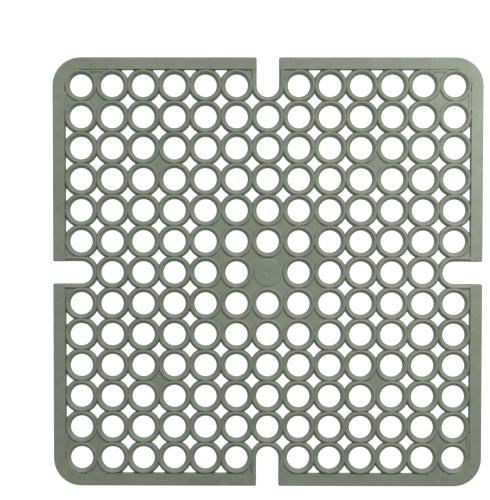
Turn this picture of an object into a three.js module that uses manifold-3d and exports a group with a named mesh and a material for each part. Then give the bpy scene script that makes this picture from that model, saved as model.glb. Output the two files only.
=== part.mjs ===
// A square sink mat of soft grey-green plastic, moulded as one piece. Rings stand in a square grid inside a flat
// border band. Every ring touches its neighbours, so small openings with four sides are left between them.
// The ring in the middle of each side is open to the outside as a notch, and the middle one is a blank disc.
//
// Frame: millimetres, +Z up, the origin under the middle of the mat, on the surface that it lies on.

import * as THREE from "three";
import { mergeVertices } from "three/addons/utils/BufferGeometryUtils.js";
import Module from "manifold-3d";

const wasm = await Module();
wasm.setup();

// The grid of rings. The count is odd, so that one ring is in the middle.
const RINGS_PER_SIDE = 13;
const RING_PITCH = 22.4;
const HOLE_DIAMETER = 16.0;

// How far a rim reaches past the line halfway to the next ring, so that the two are fused there.
const RIM_OVERLAP = 1.3;

// The border band, and how far the rims beside it are sunk into it.
const BAND_WIDTH = 8.5;
const BAND_SINK = 0.9;

// Heights. A filled web lies lower than the rims around it.
const MAT_THICKNESS = 4.5;
const WEB_DROP = 1.3;

// The blank disc in the middle stands a little above the low field around it.
const DISC_DIAMETER = 20.4;
const DISC_RISE = 0.4;

// Small rounding where a notch meets the outer edge.
const MOUTH_RADIUS = 1.2;

// Straight steps in a quarter turn of a hole or disc, of an outer corner and of a rounded notch mouth.
const ROUND_STEPS = 3;
const CORNER_STEPS = 6;
const MOUTH_STEPS = 2;

const SAGE_GREEN = 0x7d8779;

// Places that follow from the driving dimensions.
const quarterTurn = Math.PI / 2;
const middleRing = (RINGS_PER_SIDE - 1) / 2;
const outermostRing = middleRing * RING_PITCH;
const rimRadius = RING_PITCH / 2 + RIM_OVERLAP;
const bandInside = outermostRing + rimRadius - BAND_SINK;
const matEdge = bandInside + BAND_WIDTH;
const cornerRadius = matEdge - outermostRing;
const webTop = MAT_THICKNESS - WEB_DROP;

// A hole or disc is a polygon of the same area as its circle, with a flat facing each side of the mat.
const roundSides = 4 * ROUND_STEPS;
const roundStep = quarterTurn / ROUND_STEPS;
const vertexFactor = Math.sqrt((2 * Math.PI) / (roundSides * Math.sin(roundStep)));
const holeVertexRadius = (HOLE_DIAMETER / 2) * vertexFactor;
const holeFlat = holeVertexRadius * Math.cos(roundStep / 2);

// Seen from above, the outside of a rim is an octagon of the same area as its circle. A point on its slanting
// side lies rimSlant from the ring's centre along X and Y together.
const eighthTurn = quarterTurn / 2;
const rimFlat = rimRadius * Math.sqrt(eighthTurn / (2 * Math.tan(eighthTurn / 2)));
const rimFlatHalf = rimFlat * Math.tan(eighthTurn / 2);
const rimSlant = rimFlat * Math.SQRT2;

// Half the diagonal of the opening between four rings.
const diamondHalf = RING_PITCH - rimSlant;

// Half the base, and the height, of the opening between two rings and the band.
const edgeGapHalf = bandInside - outermostRing + RING_PITCH / 2 - rimSlant;

// The legs of the small corner that the ring beside a notch leaves between the notch's rim and the band.
const notchGapLeg = bandInside - outermostRing + (RING_PITCH - rimRadius) - rimSlant;

function arc(centreX, centreY, radius, startAngle, endAngle, steps) {
  const points = [];
  for (let step = 0; step <= steps; step += 1) {
    const angle = startAngle + ((endAngle - startAngle) * step) / steps;
    points.push(new THREE.Vector2(centreX + radius * Math.cos(angle), centreY + radius * Math.sin(angle)));
  }
  return points;
}

function turned(points, quarters) {
  const middle = new THREE.Vector2(0, 0);
  return points.map((point) => point.clone().rotateAround(middle, quarters * quarterTurn));
}

// One side of the outline: the straight edge at +X with its notch, and then the rounded corner after it.
function sideOutline() {
  const mouthX = matEdge - MOUTH_RADIUS;
  const mouthY = holeFlat + MOUTH_RADIUS;
  const lowerMouth = arc(mouthX, -mouthY, MOUTH_RADIUS, 0, quarterTurn, MOUTH_STEPS);
  const notchStart = 3 * quarterTurn - roundStep / 2;
  const notchEnd = quarterTurn + roundStep / 2;
  const notch = arc(outermostRing, 0, holeVertexRadius, notchStart, notchEnd, roundSides / 2 - 1);
  const upperMouth = arc(mouthX, mouthY, MOUTH_RADIUS, -quarterTurn, 0, MOUTH_STEPS);
  const corner = arc(outermostRing, outermostRing, cornerRadius, 0, quarterTurn, CORNER_STEPS);
  return [...lowerMouth, ...notch, ...upperMouth, ...corner];
}

function matOutline() {
  const points = [];
  for (let side = 0; side < 4; side += 1) {
    points.push(...turned(sideOutline(), side));
  }
  return points;
}

function roundOutline(x, y, vertexRadius) {
  const firstAngle = roundStep / 2;
  const lastAngle = firstAngle + (roundSides - 1) * roundStep;
  return arc(x, y, vertexRadius, firstAngle, lastAngle, roundSides - 1);
}

function diamond(x, y) {
  return arc(x, y, diamondHalf, 0, 3 * quarterTurn, 3);
}

// The opening between two rings and the band at +X. Its base lies on the band.
function edgeGap(y) {
  return [
    new THREE.Vector2(bandInside, y - edgeGapHalf),
    new THREE.Vector2(bandInside, y + edgeGapHalf),
    new THREE.Vector2(bandInside - edgeGapHalf, y),
  ];
}

// The corner above the notch at +X, between the notch's rim, the next ring and the band.
function cornerAboveNotch() {
  return [
    new THREE.Vector2(bandInside, rimRadius),
    new THREE.Vector2(bandInside, rimRadius + notchGapLeg),
    new THREE.Vector2(bandInside - notchGapLeg, rimRadius),
  ];
}

// The same corner below the notch, in the reverse order, so that it runs counterclockwise too.
function cornerBelowNotch() {
  return cornerAboveNotch()
    .map((point) => new THREE.Vector2(point.x, -point.y))
    .reverse();
}

// The low field around the middle disc, out to the eight rims around it.
function middleField() {
  const points = [];
  for (let side = 0; side < 4; side += 1) {
    const quarter = [
      new THREE.Vector2(RING_PITCH - rimFlat, rimFlatHalf),
      new THREE.Vector2(RING_PITCH / 2 + diamondHalf, RING_PITCH / 2),
      new THREE.Vector2(RING_PITCH / 2, RING_PITCH / 2 + diamondHalf),
      new THREE.Vector2(rimFlatHalf, RING_PITCH - rimFlat),
    ];
    points.push(...turned(quarter, side));
  }
  return points;
}

function isRoundHole(row, column) {
  const inMiddleRow = row === middleRing;
  const inMiddleColumn = column === middleRing;
  const onEdge = row % (RINGS_PER_SIDE - 1) === 0 || column % (RINGS_PER_SIDE - 1) === 0;
  const isNotch = onEdge && (inMiddleRow || inMiddleColumn);
  const isMiddleDisc = inMiddleRow && inMiddleColumn;
  return !isNotch && !isMiddleDisc;
}

// Steps in from the nearer end of a row of gaps. The gap beside the end counts 0.
function stepsIn(gap) {
  return Math.min(gap, RINGS_PER_SIDE - 2 - gap);
}

// The webs between four rings are filled in each corner, two steps further in on the diagonals, and in the
// middle, where the innermost four belong to the low field around the disc.
function diamondKind(row, column) {
  const rowSteps = stepsIn(row);
  const columnSteps = stepsIn(column);
  const innermost = stepsIn(middleRing);
  if (rowSteps === innermost && columnSteps === innermost) {
    return "field";
  }
  const onDiagonal = rowSteps === columnSteps && (rowSteps === 0 || rowSteps === 2);
  const nearMiddle = rowSteps >= innermost - 1 && columnSteps >= innermost - 1;
  return onDiagonal || nearMiddle ? "web" : "open";
}

// Along the band, the gap beside each corner is filled, and the two beside a notch are its corner webs.
function edgeGapKind(gap) {
  if (stepsIn(gap) === stepsIn(middleRing)) {
    return "corner";
  }
  return stepsIn(gap) === 0 ? "web" : "open";
}

// The outlines that go right through the mat, and those of the webs that only lie lower.
function matOpenings() {
  const open = [];
  const web = [middleField()];
  for (let row = 0; row < RINGS_PER_SIDE; row += 1) {
    for (let column = 0; column < RINGS_PER_SIDE; column += 1) {
      if (isRoundHole(row, column)) {
        const x = (column - middleRing) * RING_PITCH;
        const y = (row - middleRing) * RING_PITCH;
        open.push(roundOutline(x, y, holeVertexRadius));
      }
    }
  }
  const kinds = { open, web };
  const firstGap = (0.5 - middleRing) * RING_PITCH;
  for (let row = 0; row < RINGS_PER_SIDE - 1; row += 1) {
    for (let column = 0; column < RINGS_PER_SIDE - 1; column += 1) {
      const kind = diamondKind(row, column);
      if (kind !== "field") {
        kinds[kind].push(diamond(firstGap + column * RING_PITCH, firstGap + row * RING_PITCH));
      }
    }
  }
  for (let side = 0; side < 4; side += 1) {
    for (let gap = 0; gap < RINGS_PER_SIDE - 1; gap += 1) {
      const kind = edgeGapKind(gap);
      if (kind !== "corner") {
        kinds[kind].push(turned(edgeGap(firstGap + gap * RING_PITCH), side));
      }
    }
    web.push(turned(cornerAboveNotch(), side), turned(cornerBelowNotch(), side));
  }
  return { open, web };
}

function solidOf(geometry) {
  geometry.deleteAttribute("normal");
  geometry.deleteAttribute("uv");
  const merged = mergeVertices(geometry);
  return new wasm.Manifold(
    new wasm.Mesh({
      numProp: 3,
      vertProperties: merged.attributes.position.array,
      triVerts: new Uint32Array(merged.index.array),
    }),
  );
}

function upright(outline, bottom, top) {
  const shape = new THREE.Shape(outline);
  const geometry = new THREE.ExtrudeGeometry(shape, { depth: top - bottom, bevelEnabled: false });
  return solidOf(geometry.translate(0, 0, bottom));
}

function geometryOf(solid) {
  const mesh = solid.getMesh();
  const geometry = new THREE.BufferGeometry();
  geometry.setAttribute("position", new THREE.BufferAttribute(mesh.vertProperties, 3));
  geometry.setIndex(new THREE.BufferAttribute(mesh.triVerts, 1));
  geometry.computeVertexNormals();
  return geometry;
}

function sinkMatGeometry() {
  const { open, web } = matOpenings();

  // Every cutter stands out past the mat by the mat's own thickness.
  const below = -MAT_THICKNESS;
  const above = 2 * MAT_THICKNESS;
  const cutters = [
    ...open.map((outline) => upright(outline, below, above)),
    ...web.map((outline) => upright(outline, webTop, above)),
  ];
  const plate = upright(matOutline(), 0, MAT_THICKNESS);
  const disc = upright(roundOutline(0, 0, (DISC_DIAMETER / 2) * vertexFactor), 0, webTop + DISC_RISE);
  return geometryOf(plate.subtract(wasm.Manifold.union(cutters)).add(disc));
}

const softPlastic = new THREE.MeshStandardMaterial({ color: SAGE_GREEN, roughness: 0.62, metalness: 0 });

const sinkMat = new THREE.Mesh(sinkMatGeometry(), softPlastic);
sinkMat.name = "sink_mat";

const part = new THREE.Group();
part.add(sinkMat);

export default part;
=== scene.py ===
# %% [markdown]
# A sink mat is a flat lattice of soft plastic that lies in a sink, so that dishes don't chip and
# water runs off. This one is moulded in one piece: round rings in a square grid, a flat border
# band, a few filled webs, a low disc in the middle and four open notches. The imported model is
# loaded first. It is the fixed frame, and its one body and its box give the places and limits for
# everything below.

# %% Load the fixed frame
import math

import bmesh
import bpy
from mathutils import Matrix, Vector


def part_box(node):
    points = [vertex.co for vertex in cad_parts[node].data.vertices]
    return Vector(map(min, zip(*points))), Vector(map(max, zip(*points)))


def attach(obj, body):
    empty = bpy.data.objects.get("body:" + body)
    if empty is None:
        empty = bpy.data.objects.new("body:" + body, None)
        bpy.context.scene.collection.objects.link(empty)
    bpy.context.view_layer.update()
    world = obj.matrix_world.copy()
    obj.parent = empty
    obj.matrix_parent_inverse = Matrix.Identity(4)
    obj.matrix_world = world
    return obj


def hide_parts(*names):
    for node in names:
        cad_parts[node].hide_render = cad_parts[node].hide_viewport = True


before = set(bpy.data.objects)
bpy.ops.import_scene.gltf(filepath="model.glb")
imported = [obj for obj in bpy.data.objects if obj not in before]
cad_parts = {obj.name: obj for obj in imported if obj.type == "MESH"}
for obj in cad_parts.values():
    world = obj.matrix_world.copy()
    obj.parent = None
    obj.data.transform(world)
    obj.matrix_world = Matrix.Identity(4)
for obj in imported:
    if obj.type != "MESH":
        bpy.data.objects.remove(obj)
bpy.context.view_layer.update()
mat_low, mat_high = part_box("sink_mat")
print("frame box", [round(size, 4) for size in mat_high - mat_low])

# %% [markdown]
# Real sizes come next, in metres. The overall side and thickness are read from the frame. The rest
# are the sizes that a mould maker would set: the pitch of the rings, the bore of each ring, how far
# two rims run into each other, and the width of the band.

# %% Sizes of the mat
MM = 0.001
RINGS_PER_SIDE = 13
RING_PITCH = 22.4 * MM
HOLE_RADIUS = 8.0 * MM
RIM_OVERLAP = 1.3 * MM
BAND_WIDTH = 8.5 * MM
WEB_DROP = 1.3 * MM

mat_edge = mat_high.x
thickness = mat_high.z - mat_low.z
middle_ring = (RINGS_PER_SIDE - 1) // 2
last_ring = RINGS_PER_SIDE - 1
outermost_ring = middle_ring * RING_PITCH
rim_radius = RING_PITCH / 2 + RIM_OVERLAP
rim_width = rim_radius - HOLE_RADIUS
band_inside = mat_edge - BAND_WIDTH
corner_radius = mat_edge - outermost_ring
web_top = thickness - WEB_DROP
quarter_turn = math.pi / 2
print("rims", round(rim_width / MM, 2), "mm wide, corners", round(corner_radius / MM, 2), "mm round")

# %% [markdown]
# The camera looks almost straight down with a portrait lens. It is made before the pieces, so that
# every trial picture has the final framing.

# %% Camera
CAMERA_PLACE = Vector((-11.4, 42.1, 853.0)) * MM
CAMERA_TURN = (math.radians(-1.737), math.radians(0.331), math.radians(0.069))
LENS_MM = 85
SENSOR_MM = 36


def add_camera():
    data = bpy.data.cameras.new("camera")
    data.lens = LENS_MM
    data.sensor_width = SENSOR_MM
    camera = bpy.data.objects.new("camera", data)
    camera.location = CAMERA_PLACE
    camera.rotation_euler = CAMERA_TURN
    bpy.context.collection.objects.link(camera)
    bpy.context.scene.camera = camera
    return camera


camera = add_camera()
print("camera", round(camera.location.z, 3), "m above the floor")

# %% [markdown]
# Every feature of the mat starts as a bmesh and becomes a closed solid at the origin, with its
# place in its mesh. The solids overlap a little and are joined into one skin at the end, because
# the real mat is one moulding.

# %% Helpers for closed solids
MERGE_DISTANCE = 0.002 * MM


def mesh_from(bm, name):
    mesh = bpy.data.meshes.new(name)
    bm.to_mesh(mesh)
    bm.free()
    return mesh


def object_from(bm, name):
    bmesh.ops.remove_doubles(bm, verts=bm.verts, dist=MERGE_DISTANCE)
    bmesh.ops.recalc_face_normals(bm, faces=bm.faces)
    loose = sum(1 for edge in bm.edges if not edge.is_manifold)
    mesh = mesh_from(bm, name)
    solid = bpy.data.objects.new(name, mesh)
    bpy.context.collection.objects.link(solid)
    print(name, len(mesh.polygons), "faces,", loose, "open edges")
    return solid


def add_copies(bm, mesh, moves):
    """Adds a copy of the mesh for each 4 by 4 matrix in moves."""
    for move in moves:
        first = len(bm.verts)
        bm.from_mesh(mesh)
        bm.verts.ensure_lookup_table()
        bmesh.ops.transform(bm, matrix=move, verts=bm.verts[first:])


def quarter_turns():
    return [Matrix.Rotation(quarter_turn * number, 4, "Z") for number in range(4)]


def add_loop(bm, points):
    verts = [bm.verts.new(point) for point in points]
    edges = [bm.edges.new((verts[index - 1], vert)) for index, vert in enumerate(verts)]
    return verts, edges


# %% [markdown]
# The section of a rim is like a bead: a flat foot with small roundings, short upright sides and a
# back that falls away on both sides of a crest. It could be a torus, but a moulded rim is flat
# below. The section is drawn once as a closed loop of edges in the XZ plane. A spin turns it into a
# ring, and extrusions turn the same loop into the straight legs of a notch.

# %% The section of a rim
FOOT_ROUNDING = 0.35 * MM
CREST_SHARE = 0.55
INNER_FALL = 3.4 * MM
OUTER_FALL = 3.0 * MM
BACK_STEPS = 5

crest_radius = HOLE_RADIUS + CREST_SHARE * rim_width


def rim_section():
    """The rim's closed outline at +X from the middle of its hole. Its back is two halves of parabolas."""
    points = [
        Vector((HOLE_RADIUS + FOOT_ROUNDING, 0, 0)),
        Vector((rim_radius - FOOT_ROUNDING, 0, 0)),
        Vector((rim_radius, 0, FOOT_ROUNDING)),
    ]
    for step in range(-BACK_STEPS, BACK_STEPS + 1):
        share = step / BACK_STEPS
        reach = rim_radius - crest_radius if share < 0 else crest_radius - HOLE_RADIUS
        fall = OUTER_FALL if share < 0 else INNER_FALL
        points.append(Vector((crest_radius - share * reach, 0, thickness - fall * share ** 2)))
    points.append(Vector((HOLE_RADIUS, 0, FOOT_ROUNDING)))
    return points


print("rim section", len(rim_section()), "points")

# %% [markdown]
# Neighbouring rims run into each other. A ring is spun once and cut off halfway to each neighbour,
# so that the cut ends of two neighbours match point for point and can be merged. That leaves a fine
# valley between the two rims, as on the real mat. A ring beside the band, a notch or the middle
# disc keeps its full rim on that side.

# %% The lattice of rings
RING_STEPS = 36
CUT_TOLERANCE = MERGE_DISTANCE / 2
TIP_SMOOTHING = 0.5
SIDES = {
    "right": Vector((1, 0, 0)),
    "left": Vector((-1, 0, 0)),
    "back": Vector((0, 1, 0)),
    "front": Vector((0, -1, 0)),
}


def ring_mesh(cut_sides):
    bm = bmesh.new()
    verts, edges = add_loop(bm, rim_section())
    bmesh.ops.spin(
        bm,
        geom=verts + edges,
        cent=(0, 0, 0),
        axis=(0, 0, 1),
        angle=math.tau,
        steps=RING_STEPS,
        use_merge=True,
    )
    for side in cut_sides:
        bmesh.ops.bisect_plane(
            bm,
            geom=bm.verts[:] + bm.edges[:] + bm.faces[:],
            dist=CUT_TOLERANCE,
            plane_co=SIDES[side] * (RING_PITCH / 2),
            plane_no=SIDES[side],
            clear_outer=True,
        )
    return mesh_from(bm, "ring")


def is_ring(column, row):
    """Whether a place in the grid holds a whole ring, not a notch or the disc."""
    if not (0 <= column <= last_ring and 0 <= row <= last_ring):
        return False
    in_middle = (column == middle_ring) + (row == middle_ring)
    on_border = column in (0, last_ring) or row in (0, last_ring)
    return in_middle == 0 or (in_middle == 1 and not on_border)


def ring_place(column, row):
    return Vector(((column - middle_ring) * RING_PITCH, (row - middle_ring) * RING_PITCH, 0))


def is_halfway(value):
    from_plane = (value / RING_PITCH) % 1 - 0.5
    return abs(from_plane) * RING_PITCH < MERGE_DISTANCE


def blunt_tips(bm):
    """Smooths the upright edges where two rims meet, so that the openings have blunt tips."""
    joints = [vert for vert in bm.verts if is_halfway(vert.co.x) or is_halfway(vert.co.y)]
    bmesh.ops.smooth_vert(
        bm,
        verts=[vert for vert in joints if vert.co.z < web_top],
        factor=TIP_SMOOTHING,
        use_axis_x=True,
        use_axis_y=True,
    )


def ring_lattice():
    moves = {}
    for column in range(RINGS_PER_SIDE):
        for row in range(RINGS_PER_SIDE):
            if is_ring(column, row):
                cuts = tuple(side for side, (x, y, _) in SIDES.items() if is_ring(column + x, row + y))
                moves.setdefault(cuts, []).append(Matrix.Translation(ring_place(column, row)))
    bm = bmesh.new()
    for cuts, places in moves.items():
        add_copies(bm, ring_mesh(cuts), places)
    bmesh.ops.remove_doubles(bm, verts=bm.verts, dist=MERGE_DISTANCE)
    blunt_tips(bm)
    print(sum(len(places) for places in moves.values()), "rings of", len(moves), "kinds")
    return object_from(bm, "rings")


rings = ring_lattice()

# %% [markdown]
# A notch is the same rim as a U: half a ring with a straight leg on each side that runs into the
# band. The half ring is a spin over 180 degrees, and each open end is extruded along the leg in
# three lengths. At the end of the second, the side towards the notch rises almost level with the
# band, so that no groove crosses it.

# %% The rims of the four notches
LEG_BLEND = 2.5 * MM
RAISED_FALL = 0.25

leg_straight = band_inside - outermost_ring - LEG_BLEND
leg_in_band = BAND_WIDTH / 2


def raise_notch_side(verts):
    """Lifts the rim's back, on the side of the notch, to a quarter of its fall."""
    for vert in verts:
        if abs(vert.co.y) < crest_radius and vert.co.z > FOOT_ROUNDING + MERGE_DISTANCE:
            vert.co.z = thickness - (thickness - vert.co.z) * RAISED_FALL


def notch_mesh():
    bm = bmesh.new()
    verts, edges = add_loop(bm, rim_section())
    bmesh.ops.rotate(bm, verts=verts, cent=(0, 0, 0), matrix=Matrix.Rotation(quarter_turn, 3, "Z"))
    result = bmesh.ops.spin(
        bm,
        geom=verts + edges,
        cent=(0, 0, 0),
        axis=(0, 0, 1),
        angle=math.pi,
        steps=RING_STEPS // 2,
    )
    far_end = [item for item in result["geom_last"] if isinstance(item, bmesh.types.BMEdge)]
    for end in (edges, far_end):
        for length, raised in ((leg_straight, False), (LEG_BLEND, True), (leg_in_band, False)):
            extruded = bmesh.ops.extrude_edge_only(bm, edges=end)["geom"]
            moved = [item for item in extruded if isinstance(item, bmesh.types.BMVert)]
            end = [item for item in extruded if isinstance(item, bmesh.types.BMEdge)]
            bmesh.ops.translate(bm, verts=moved, vec=(length, 0, 0))
            if raised:
                raise_notch_side(moved)
    bmesh.ops.translate(bm, verts=bm.verts, vec=(outermost_ring, 0, 0))
    bmesh.ops.edgenet_fill(bm, edges=[edge for edge in bm.edges if edge.is_boundary])
    return mesh_from(bm, "notch")


def notch_rims():
    bm = bmesh.new()
    add_copies(bm, notch_mesh(), quarter_turns())
    return object_from(bm, "notch_rims")


notches = notch_rims()

# %% [markdown]
# The border band is a flat frame. Its plan starts as one square face. Bevelled corners make it
# round, an inset gives the inner edge, and straight cuts open the notches. Its foot is a little
# wider than its top, because a moulded side leans so that it leaves the mould.

# %% The plan of the border band
CORNER_STEPS = 14
BAND_DRAFT = 0.6 * MM


def band_plan():
    bm = bmesh.new()
    bmesh.ops.create_grid(bm, x_segments=1, y_segments=1, size=mat_edge)
    bmesh.ops.bevel(
        bm,
        geom=bm.verts[:],
        offset=corner_radius,
        offset_type="OFFSET",
        segments=CORNER_STEPS,
        profile=0.5,
        affect="VERTICES",
        material=-1,
    )
    bmesh.ops.inset_region(
        bm,
        faces=bm.faces[:],
        thickness=BAND_WIDTH + BAND_DRAFT,
        use_boundary=True,
        use_even_offset=True,
    )
    inside = [face for face in bm.faces if face.calc_center_median().length < MM]
    bmesh.ops.delete(bm, geom=inside, context="FACES")
    for direction in SIDES.values():
        bmesh.ops.bisect_plane(
            bm,
            geom=bm.verts[:] + bm.edges[:] + bm.faces[:],
            dist=CUT_TOLERANCE,
            plane_co=direction * HOLE_RADIUS,
            plane_no=direction,
        )
    centres = [(face, face.calc_center_median().xy) for face in bm.faces]
    across = [face for face, centre in centres if min(map(abs, centre)) < HOLE_RADIUS / 2]
    bmesh.ops.delete(bm, geom=across, context="FACES")
    return bm


print("band", round(BAND_WIDTH / MM, 2), "mm wide, its foot", round(BAND_DRAFT / MM, 2), "mm wider")

# %% [markdown]
# The plan is extruded to the height of the mat, and the inner side is leant outwards. Only then are
# the edges rounded, so that the same small roundings also run along the notches. Each kind of edge
# is found by a short test of where it is.

# %% The border band
MOUTH_RADIUS = 1.2 * MM
MOUTH_STEPS = 4
TOP_ROUNDING = 0.9 * MM
TOP_STEPS = 4
INNER_ROUNDING = 0.4 * MM
INNER_STEPS = 3
UNDER_ROUNDING = 0.4 * MM
UNDER_STEPS = 2
SAME_HEIGHT = 0.01 * MM
SHARP_ANGLE = 1.0

inside_limit = corner_radius - BAND_WIDTH + MM


def is_mouth(edge):
    """An upright edge where a notch meets the outside."""
    upright = abs(edge.verts[0].co.z - edge.verts[1].co.z) > MM
    near, far = sorted(abs(value) for value in edge.verts[0].co.xy)
    return upright and near < rim_radius and far > mat_edge - MM / 2


def from_core(point):
    """The way out of the square through the corner rings' middles, to a point."""
    core = [max(-outermost_ring, min(outermost_ring, value)) for value in point.xy]
    return Vector((point.x - core[0], point.y - core[1], 0))


def is_inner(edge):
    """An edge along the inside of the band."""
    middle = (edge.verts[0].co + edge.verts[1].co) / 2
    return from_core(middle).length < inside_limit


def sharp_edges(bm, height):
    """The edges at a height, between a level face and an upright one."""
    found = []
    for edge in bm.edges:
        level = all(abs(vert.co.z - height) < SAME_HEIGHT for vert in edge.verts)
        if level and len(edge.link_faces) == 2 and edge.calc_face_angle() > SHARP_ANGLE:
            found.append(edge)
    return found


def round_off(bm, edges, radius, steps):
    bmesh.ops.bevel(
        bm,
        geom=edges,
        offset=radius,
        offset_type="OFFSET",
        segments=steps,
        profile=0.5,
        affect="EDGES",
        material=-1,
    )


def border_band():
    bm = band_plan()
    raised = bmesh.ops.extrude_face_region(bm, geom=bm.faces[:])["geom"]
    top = [item for item in raised if isinstance(item, bmesh.types.BMVert)]
    bmesh.ops.translate(bm, verts=top, vec=(0, 0, thickness))
    for vert in top:
        outwards = from_core(vert.co)
        if outwards.length < inside_limit:
            vert.co += outwards.normalized() * BAND_DRAFT
    bmesh.ops.recalc_face_normals(bm, faces=bm.faces)
    round_off(bm, [edge for edge in bm.edges if is_mouth(edge)], MOUTH_RADIUS, MOUTH_STEPS)
    top_edges = sharp_edges(bm, thickness)
    inner_edges = [edge for edge in top_edges if is_inner(edge)]
    outer_edges = [edge for edge in top_edges if not is_inner(edge)]
    round_off(bm, outer_edges, TOP_ROUNDING, TOP_STEPS)
    inner_edges = [edge for edge in inner_edges if edge.is_valid]
    round_off(bm, inner_edges, INNER_ROUNDING, INNER_STEPS)
    round_off(bm, sharp_edges(bm, 0), UNDER_ROUNDING, UNDER_STEPS)
    return object_from(bm, "band")


band = border_band()

# %% [markdown]
# Around each corner ring the band runs level into the rim, without the groove that it has
# elsewhere. A rectangle is spun over a quarter turn to fill that groove, and its top sinks softly
# at both ends, so that the groove fades out.

# %% The corner fills
FILL_STEPS = 18
FILL_FADE = math.radians(16)
FILL_FADE_DEPTH = 1.6 * MM
FILL_SINK = 0.03 * MM


def corner_fill_mesh():
    bm = bmesh.new()
    inner = HOLE_RADIUS + rim_width / 2
    outer = corner_radius - BAND_WIDTH / 2
    top = thickness - FILL_SINK
    bottom = thickness / 4
    verts, edges = add_loop(bm, [(inner, 0, bottom), (outer, 0, bottom), (outer, 0, top), (inner, 0, top)])
    bmesh.ops.spin(
        bm,
        geom=verts + edges,
        cent=(0, 0, 0),
        axis=(0, 0, 1),
        angle=quarter_turn,
        steps=FILL_STEPS,
    )
    bmesh.ops.edgenet_fill(bm, edges=[edge for edge in bm.edges if edge.is_boundary])
    for vert in bm.verts:
        if vert.co.z > bottom + MM:
            angle = math.atan2(vert.co.y, vert.co.x)
            from_end = min(angle, quarter_turn - angle) / FILL_FADE
            ease = max(0.0, 1 - from_end) ** 2
            vert.co.z -= FILL_FADE_DEPTH * ease
    bmesh.ops.translate(bm, verts=bm.verts, vec=(outermost_ring, outermost_ring, 0))
    return mesh_from(bm, "corner_fill")


def corner_fills():
    bm = bmesh.new()
    add_copies(bm, corner_fill_mesh(), quarter_turns())
    return object_from(bm, "corner_fills")


fills = corner_fills()

# %% [markdown]
# Some openings between the rings are closed by thin webs, a little lower than the rims. A web could
# be cut exactly to the curved gap, but a plate whose edges are buried in the rims gives the same
# look and a cleaner join. Each plate reaches as far as an octagon drawn through the backs of the
# rims around it.

# %% Reach of the webs
OCTAGON_SHARE = 0.6

octagon_radius = HOLE_RADIUS + OCTAGON_SHARE * rim_width
octagon_flat = octagon_radius * math.cos(quarter_turn / 4)
octagon_half_side = octagon_radius * math.sin(quarter_turn / 4)
web_reach = RING_PITCH - octagon_flat * math.sqrt(2)


def plate_mesh(outline, top):
    """A flat plate from the underside of the mat up to a height."""
    bm = bmesh.new()
    face = bm.faces.new([bm.verts.new((x, y, 0)) for x, y in outline])
    raised = bmesh.ops.extrude_face_region(bm, geom=[face])["geom"]
    upper = [item for item in raised if isinstance(item, bmesh.types.BMVert)]
    bmesh.ops.translate(bm, verts=upper, vec=(0, 0, top))
    return mesh_from(bm, "plate")


def diamond_outline():
    return [(web_reach, 0), (0, web_reach), (-web_reach, 0), (0, -web_reach)]


print("webs reach", round(web_reach / MM, 2), "mm from their middles")

# %% [markdown]
# The filled gaps follow a rule, so they need no list: the gap in each corner of the grid, the gap
# two steps further in on each diagonal, a block of four by four around the middle, and along the
# band the gap beside each corner. The four gaps around the middle disc are part of the low field
# there.

# %% The webs between the rings
GAPS_PER_SIDE = RINGS_PER_SIDE - 1


def steps_in(gap):
    return min(gap, GAPS_PER_SIDE - 1 - gap)


def is_web(column, row):
    x = steps_in(column)
    y = steps_in(row)
    innermost = steps_in(middle_ring)
    if x == y == innermost:
        return False
    return (x == y and x in (0, 2)) or (x >= innermost - 1 and y >= innermost - 1)


def gap_place(gap):
    return (gap + 0.5 - middle_ring) * RING_PITCH


def web_places():
    places = []
    for column in range(GAPS_PER_SIDE):
        for row in range(GAPS_PER_SIDE):
            if is_web(column, row):
                places.append(Matrix.Translation((gap_place(column), gap_place(row), 0)))
    for turn in quarter_turns():
        for row in (0, GAPS_PER_SIDE - 1):
            places.append(turn @ Matrix.Translation((outermost_ring + RING_PITCH / 2, gap_place(row), 0)))
    return places


def ring_webs():
    bm = bmesh.new()
    places = web_places()
    add_copies(bm, plate_mesh(diamond_outline(), web_top), places)
    print(len(places), "webs")
    return object_from(bm, "webs")


webs = ring_webs()

# %% [markdown]
# The corner beside each leg of a notch is a small web of its own, and in the gaps beside the mat's
# corners a narrow ledge runs along the band, between the height of the web and that of the rims.

# %% Notch corner webs and ledges
LEDGE_WIDTH = 1.8 * MM
LEDGE_TOP = 3.9 * MM


def notch_corner_outline():
    leg_middle = HOLE_RADIUS + rim_width / 2
    band_middle = mat_edge - BAND_WIDTH / 2
    ring_side = RING_PITCH - octagon_half_side / 2
    return [
        (outermost_ring + octagon_half_side, leg_middle),
        (band_middle, leg_middle),
        (band_middle, ring_side),
        (outermost_ring + octagon_flat, ring_side),
    ]


def ledge_outline():
    low = band_inside - LEDGE_WIDTH
    high = mat_edge - BAND_WIDTH / 2
    half = RING_PITCH / 2 - octagon_half_side
    middle = gap_place(0)
    return [(low, middle - half), (high, middle - half), (high, middle + half), (low, middle + half)]


def mirrored(outline):
    return [(x, -y) for x, y in reversed(outline)]


def small_fills():
    bm = bmesh.new()
    for outline, top in ((notch_corner_outline(), web_top), (ledge_outline(), LEDGE_TOP)):
        for plan in (outline, mirrored(outline)):
            add_copies(bm, plate_mesh(plan, top), quarter_turns())
    return object_from(bm, "small_fills")


small_solids = small_fills()

# %% [markdown]
# Where a rim meets the band, the sharp wedge between the two is filled up to the shoulder of the
# rim. Moulds have no such sharp wedges, because the plastic would tear there. One low block for
# each rim fills the wedge on both sides.

# %% Fills where the rims meet the band
WEDGE_REACH = 7.1 * MM
WEDGE_TOP = 2.1 * MM
WEDGE_SHARE = 0.4


def wedge_outline():
    low = outermost_ring + HOLE_RADIUS + rim_width * WEDGE_SHARE
    high = mat_edge - BAND_WIDTH / 2
    return [(low, -WEDGE_REACH), (high, -WEDGE_REACH), (high, WEDGE_REACH), (low, WEDGE_REACH)]


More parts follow.
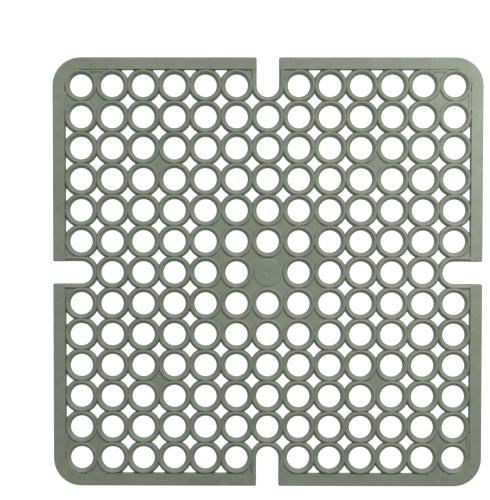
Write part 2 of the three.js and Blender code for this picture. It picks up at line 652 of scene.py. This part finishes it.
def wedge_fills():
    bm = bmesh.new()
    block = plate_mesh(wedge_outline(), WEDGE_TOP)
    rows = [row for row in range(RINGS_PER_SIDE) if row != middle_ring]
    for row in rows:
        shift = Matrix.Translation((0, ring_place(0, row).y, 0))
        add_copies(bm, block, [turn @ shift for turn in quarter_turns()])
    print(4 * len(rows), "wedge fills")
    return object_from(bm, "wedges")


wedges = wedge_fills()

# %% [markdown]
# In the middle of the mat there is no ring. A low field reaches out to the eight rims around it,
# and a shallow disc with a rounded edge stands on it. The middle of the disc has a small round
# dimple, as a mould leaves where it was filled. The disc is a spin of its section, which starts and
# ends on the axis, so that it comes out closed.

# %% The middle field and disc
DISC_RADIUS = 10.2 * MM
DISC_EDGE_WIDTH = 1.0 * MM
DISC_EDGE = 0.5 * MM
DISC_EDGE_STEPS = 4
DISC_CROWN = 0.65 * MM
DISC_STEPS = 64
DIMPLE_RADIUS = 1.9 * MM
DIMPLE_DEPTH = 0.45 * MM


def field_outline():
    corner = RING_PITCH - octagon_flat
    outer = RING_PITCH / 2 + web_reach
    quarter = [
        Vector((corner, octagon_half_side)),
        Vector((outer, RING_PITCH / 2)),
        Vector((RING_PITCH / 2, outer)),
        Vector((octagon_half_side, corner)),
    ]
    return [Matrix.Rotation(quarter_turn * turn, 2) @ point for turn in range(4) for point in quarter]


def disc_section():
    """From the axis below, round the edge and back to the axis on top."""
    edge_top = web_top + DISC_EDGE
    crown = web_top + DISC_CROWN
    points = [(0, web_top / 2), (DISC_RADIUS, web_top / 2), (DISC_RADIUS, web_top)]
    for step in range(1, DISC_EDGE_STEPS + 1):
        angle = quarter_turn * step / DISC_EDGE_STEPS
        x = DISC_RADIUS - DISC_EDGE_WIDTH * (1 - math.cos(angle))
        points.append((x, web_top + DISC_EDGE * math.sin(angle)))
    for share in (0.75, 0.5, 0.25):
        points.append((DISC_RADIUS * share, edge_top + (crown - edge_top) * (1 - share ** 2)))
    for share in (1, 0.75, 0.5, 0.25, 0):
        points.append((DIMPLE_RADIUS * share, crown - DIMPLE_DEPTH * (1 - share ** 2) ** 2))
    return [Vector((x, 0, z)) for x, z in points]


def middle_disc():
    bm = bmesh.new()
    _, edges = add_loop(bm, disc_section())
    on_axis = [edge for edge in edges if all(vert.co.x < MERGE_DISTANCE for vert in edge.verts)]
    bmesh.ops.delete(bm, geom=on_axis, context="EDGES")
    bmesh.ops.spin(
        bm,
        geom=bm.verts[:] + bm.edges[:],
        cent=(0, 0, 0),
        axis=(0, 0, 1),
        angle=math.tau,
        steps=DISC_STEPS,
        use_merge=True,
    )
    return object_from(bm, "disc")


def middle_field():
    bm = bmesh.new()
    bm.from_mesh(plate_mesh(field_outline(), web_top))
    return object_from(bm, "field")


field = middle_field()
disc = middle_disc()

# %% [markdown]
# The mat is one moulding, so all the solids are joined into one skin with Boolean modifiers.
# Overlapping shells would look much the same from above, but their hidden inner walls would be kept
# in the mesh. A union doesn't move a face, it only cuts away what lies inside. The skin is then
# shaded smooth, apart from the fine valleys between the rims, which stay sharp, and the level faces,
# which stay flat.

# %% One skin
SMOOTH_ANGLE = math.radians(46)
LEVEL_NORMAL = 0.9999


def join_solids(base, others):
    for other in others:
        union = base.modifiers.new(other.name, "BOOLEAN")
        union.operation = "UNION"
        union.solver = "MANIFOLD"
        union.object = other
    bpy.context.view_layer.update()
    joined = bpy.data.meshes.new_from_object(base.evaluated_get(bpy.context.evaluated_depsgraph_get()))
    base.modifiers.clear()
    base.data = joined
    for other in others:
        bpy.data.objects.remove(other)
    return base


def finish_skin(solid):
    bm = bmesh.new()
    bm.from_mesh(solid.data)
    bmesh.ops.remove_doubles(bm, verts=bm.verts, dist=MERGE_DISTANCE)
    bmesh.ops.dissolve_degenerate(bm, edges=bm.edges, dist=MERGE_DISTANCE)
    loose = sum(1 for edge in bm.edges if not edge.is_manifold)
    triangles = sum(len(face.verts) - 2 for face in bm.faces)
    bm.to_mesh(solid.data)
    bm.free()
    solid.data.shade_smooth()
    solid.data.set_sharp_from_angle(angle=SMOOTH_ANGLE)
    for polygon in solid.data.polygons:
        polygon.use_smooth = abs(polygon.normal.z) < LEVEL_NORMAL
    print("one skin:", triangles, "triangles,", loose, "open edges")


mat = join_solids(rings, [notches, band, fills, webs, small_solids, wedges, field, disc])
mat.name = "soft_mat"
mat.data.name = "soft_mat"
finish_skin(mat)
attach(mat, "root")
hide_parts("sink_mat")

# %% [markdown]
# Shader maths reads best as plain expressions. This small class wraps one output of a node, and its
# operators add the Math nodes. Any other kind of node comes from one method. A socket is named, or
# given by its place after an underscore where several sockets share a name.

# %% A helper for shader maths
class Shade:
    """One output in a material's nodes, which can be added, multiplied and so on."""

    def __init__(self, nodes, links, socket=None):
        self.nodes = nodes
        self.links = links
        self.socket = socket

    def plug(self, value, target):
        if isinstance(value, Shade):
            self.links.new(value.socket, target)
        else:
            target.default_value = value

    def node(self, kind, settings=None, output=0, **sockets):
        made = self.nodes.new(kind)
        for name, value in (settings or {}).items():
            setattr(made, name, value)
        for name, value in sockets.items():
            place = int(name[1:]) if name[0] == "_" else name.replace("_", " ")
            self.plug(value, made.inputs[place])
        return Shade(self.nodes, self.links, made.outputs[output] if made.outputs else None)

    def math(self, operation, first, second):
        return self.node("ShaderNodeMath", {"operation": operation}, _0=first, _1=second)

    def __add__(self, other):
        return self.math("ADD", self, other)

    __radd__ = __add__

    def __mul__(self, other):
        return self.math("MULTIPLY", self, other)

    __rmul__ = __mul__


def new_material(name):
    material = bpy.data.materials.new(name)
    material.use_nodes = True
    material.node_tree.nodes.clear()
    return material, Shade(material.node_tree.nodes, material.node_tree.links)


print("shader helper ready")

# %% [markdown]
# Soft vinyl is matte and slightly cloudy. Its sage green varies a little from place to place, its
# sheen is broken by a fine grain, and its surface is never quite level. All of that comes from
# noise on Object coordinates at three scales: broad clouds, a mottling some millimetres wide and a
# fine grain.

# %% The soft plastic
SAGE_DARK = (0.186, 0.217, 0.166, 1.0)
SAGE_LIGHT = (0.233, 0.273, 0.204, 1.0)
CLOUD_SCALE = 14.0
MOTTLE_SCALE = 160.0
GRAIN_SCALE = 900.0
CLOUD_SHARE = 0.5
TONE_RANGE = (0.35, 0.65)
SMOOTHEST = 0.46
GRAIN_ROUGHNESS = 0.16
MOTTLE_RELIEF = 0.7
BUMP_STRENGTH = 0.35
BUMP_HEIGHT = 0.15 * MM
VINYL_IOR = 1.46


def soft_plastic():
    material, shade = new_material("sage_vinyl")
    place = shade.node("ShaderNodeTexCoord", output="Object")
    clouds = shade.node("ShaderNodeTexNoise", Vector=place, Scale=CLOUD_SCALE, Detail=2.0)
    mottle = shade.node("ShaderNodeTexNoise", Vector=place, Scale=MOTTLE_SCALE, Detail=3.0)
    grain = shade.node("ShaderNodeTexNoise", Vector=place, Scale=GRAIN_SCALE, Detail=2.0)
    tone = CLOUD_SHARE * clouds + (1 - CLOUD_SHARE) * mottle
    lightness = shade.node(
        "ShaderNodeMapRange",
        Value=tone,
        From_Min=TONE_RANGE[0],
        From_Max=TONE_RANGE[1],
    )
    color = shade.node(
        "ShaderNodeMix",
        {"data_type": "RGBA"},
        output=2,
        _0=lightness,
        _6=SAGE_DARK,
        _7=SAGE_LIGHT,
    )
    roughness = SMOOTHEST + GRAIN_ROUGHNESS * grain
    relief = MOTTLE_RELIEF * mottle + (1 - MOTTLE_RELIEF) * grain
    normal = shade.node(
        "ShaderNodeBump",
        Height=relief,
        Strength=BUMP_STRENGTH,
        Distance=BUMP_HEIGHT,
    )
    plastic = shade.node(
        "ShaderNodeBsdfPrincipled",
        Base_Color=color,
        Roughness=roughness,
        Normal=normal,
        IOR=VINYL_IOR,
    )
    shade.node("ShaderNodeOutputMaterial", Surface=plastic)
    return material


mat.data.materials.clear()
mat.data.materials.append(soft_plastic())
print("material", mat.data.materials[0].name)

# %% [markdown]
# The floor is plain and white, as the mat lies on a white ground. Most of its white is light of its
# own, so that no shadow shows in the holes, and that light also brightens the foot of each rim, as
# on a lit table. It is left out of the sheen of the plastic. It is a stage piece, not part of the
# mat.

# %% The floor
FLOOR_HALF = 10.0
FLOOR_DROP = 0.1 * MM
FLOOR_TONE = (0.2, 0.2, 0.2, 1.0)
FLOOR_GLOW = 1.0
WHITE_LIGHT = (1.0, 1.0, 1.0, 1.0)


def white_floor():
    bm = bmesh.new()
    bmesh.ops.create_grid(bm, x_segments=1, y_segments=1, size=FLOOR_HALF)
    bmesh.ops.translate(bm, verts=bm.verts, vec=(0, 0, -FLOOR_DROP))
    mesh = mesh_from(bm, "floor")
    floor = bpy.data.objects.new("floor", mesh)
    bpy.context.collection.objects.link(floor)
    material, shade = new_material("white_floor")
    paper = shade.node(
        "ShaderNodeBsdfPrincipled",
        Base_Color=FLOOR_TONE,
        Roughness=1.0,
        Emission_Color=WHITE_LIGHT,
        Emission_Strength=FLOOR_GLOW,
    )
    shade.node("ShaderNodeOutputMaterial", Surface=paper)
    mesh.materials.append(material)
    floor.visible_glossy = False


white_floor()
print("floor", 2 * FLOOR_HALF, "m square")

# %% [markdown]
# A wide soft lamp behind the mat lights each rim from the back, as a window would. It stands a
# little to the right, and near enough that the mat is brighter towards it. A small lamp, low beside
# the right edge of the mat, adds a soft bright patch there, and the world adds a low even light.

# %% Light
WINDOW_PLACE = Vector((0.25, 1.4, 1.6))
WINDOW_WIDTH = 2.4
WINDOW_HEIGHT = 0.7
WINDOW_POWER = 38.0
SMALL_LAMP_PLACE = Vector((0.25, 0.11, 0.19))
SMALL_LAMP_SIZE = 0.15
SMALL_LAMP_POWER = 0.3
WORLD_LIGHT = 0.3


def soft_lamp(name, place, width, height, power):
    """An area lamp that faces straight down."""
    data = bpy.data.lights.new(name, "AREA")
    data.shape = "RECTANGLE"
    data.size = width
    data.size_y = height
    data.energy = power
    lamp = bpy.data.objects.new(name, data)
    lamp.location = place
    bpy.context.collection.objects.link(lamp)
    return lamp


def window_lamp():
    """The large lamp, turned to the middle of the mat."""
    lamp = soft_lamp("window", WINDOW_PLACE, WINDOW_WIDTH, WINDOW_HEIGHT, WINDOW_POWER)
    lamp.rotation_euler = (-WINDOW_PLACE).to_track_quat("-Z", "Y").to_euler()


def even_world():
    world = bpy.data.worlds.new("even")
    world.use_nodes = True
    background = world.node_tree.nodes["Background"]
    background.inputs["Color"].default_value = WHITE_LIGHT
    background.inputs["Strength"].default_value = WORLD_LIGHT
    bpy.context.scene.world = world
    bpy.context.scene.view_settings.view_transform = "Standard"


window_lamp()
soft_lamp("fill", SMALL_LAMP_PLACE, SMALL_LAMP_SIZE, SMALL_LAMP_SIZE, SMALL_LAMP_POWER)
even_world()
print("window lamp", round(WINDOW_PLACE.length, 2), "m away")
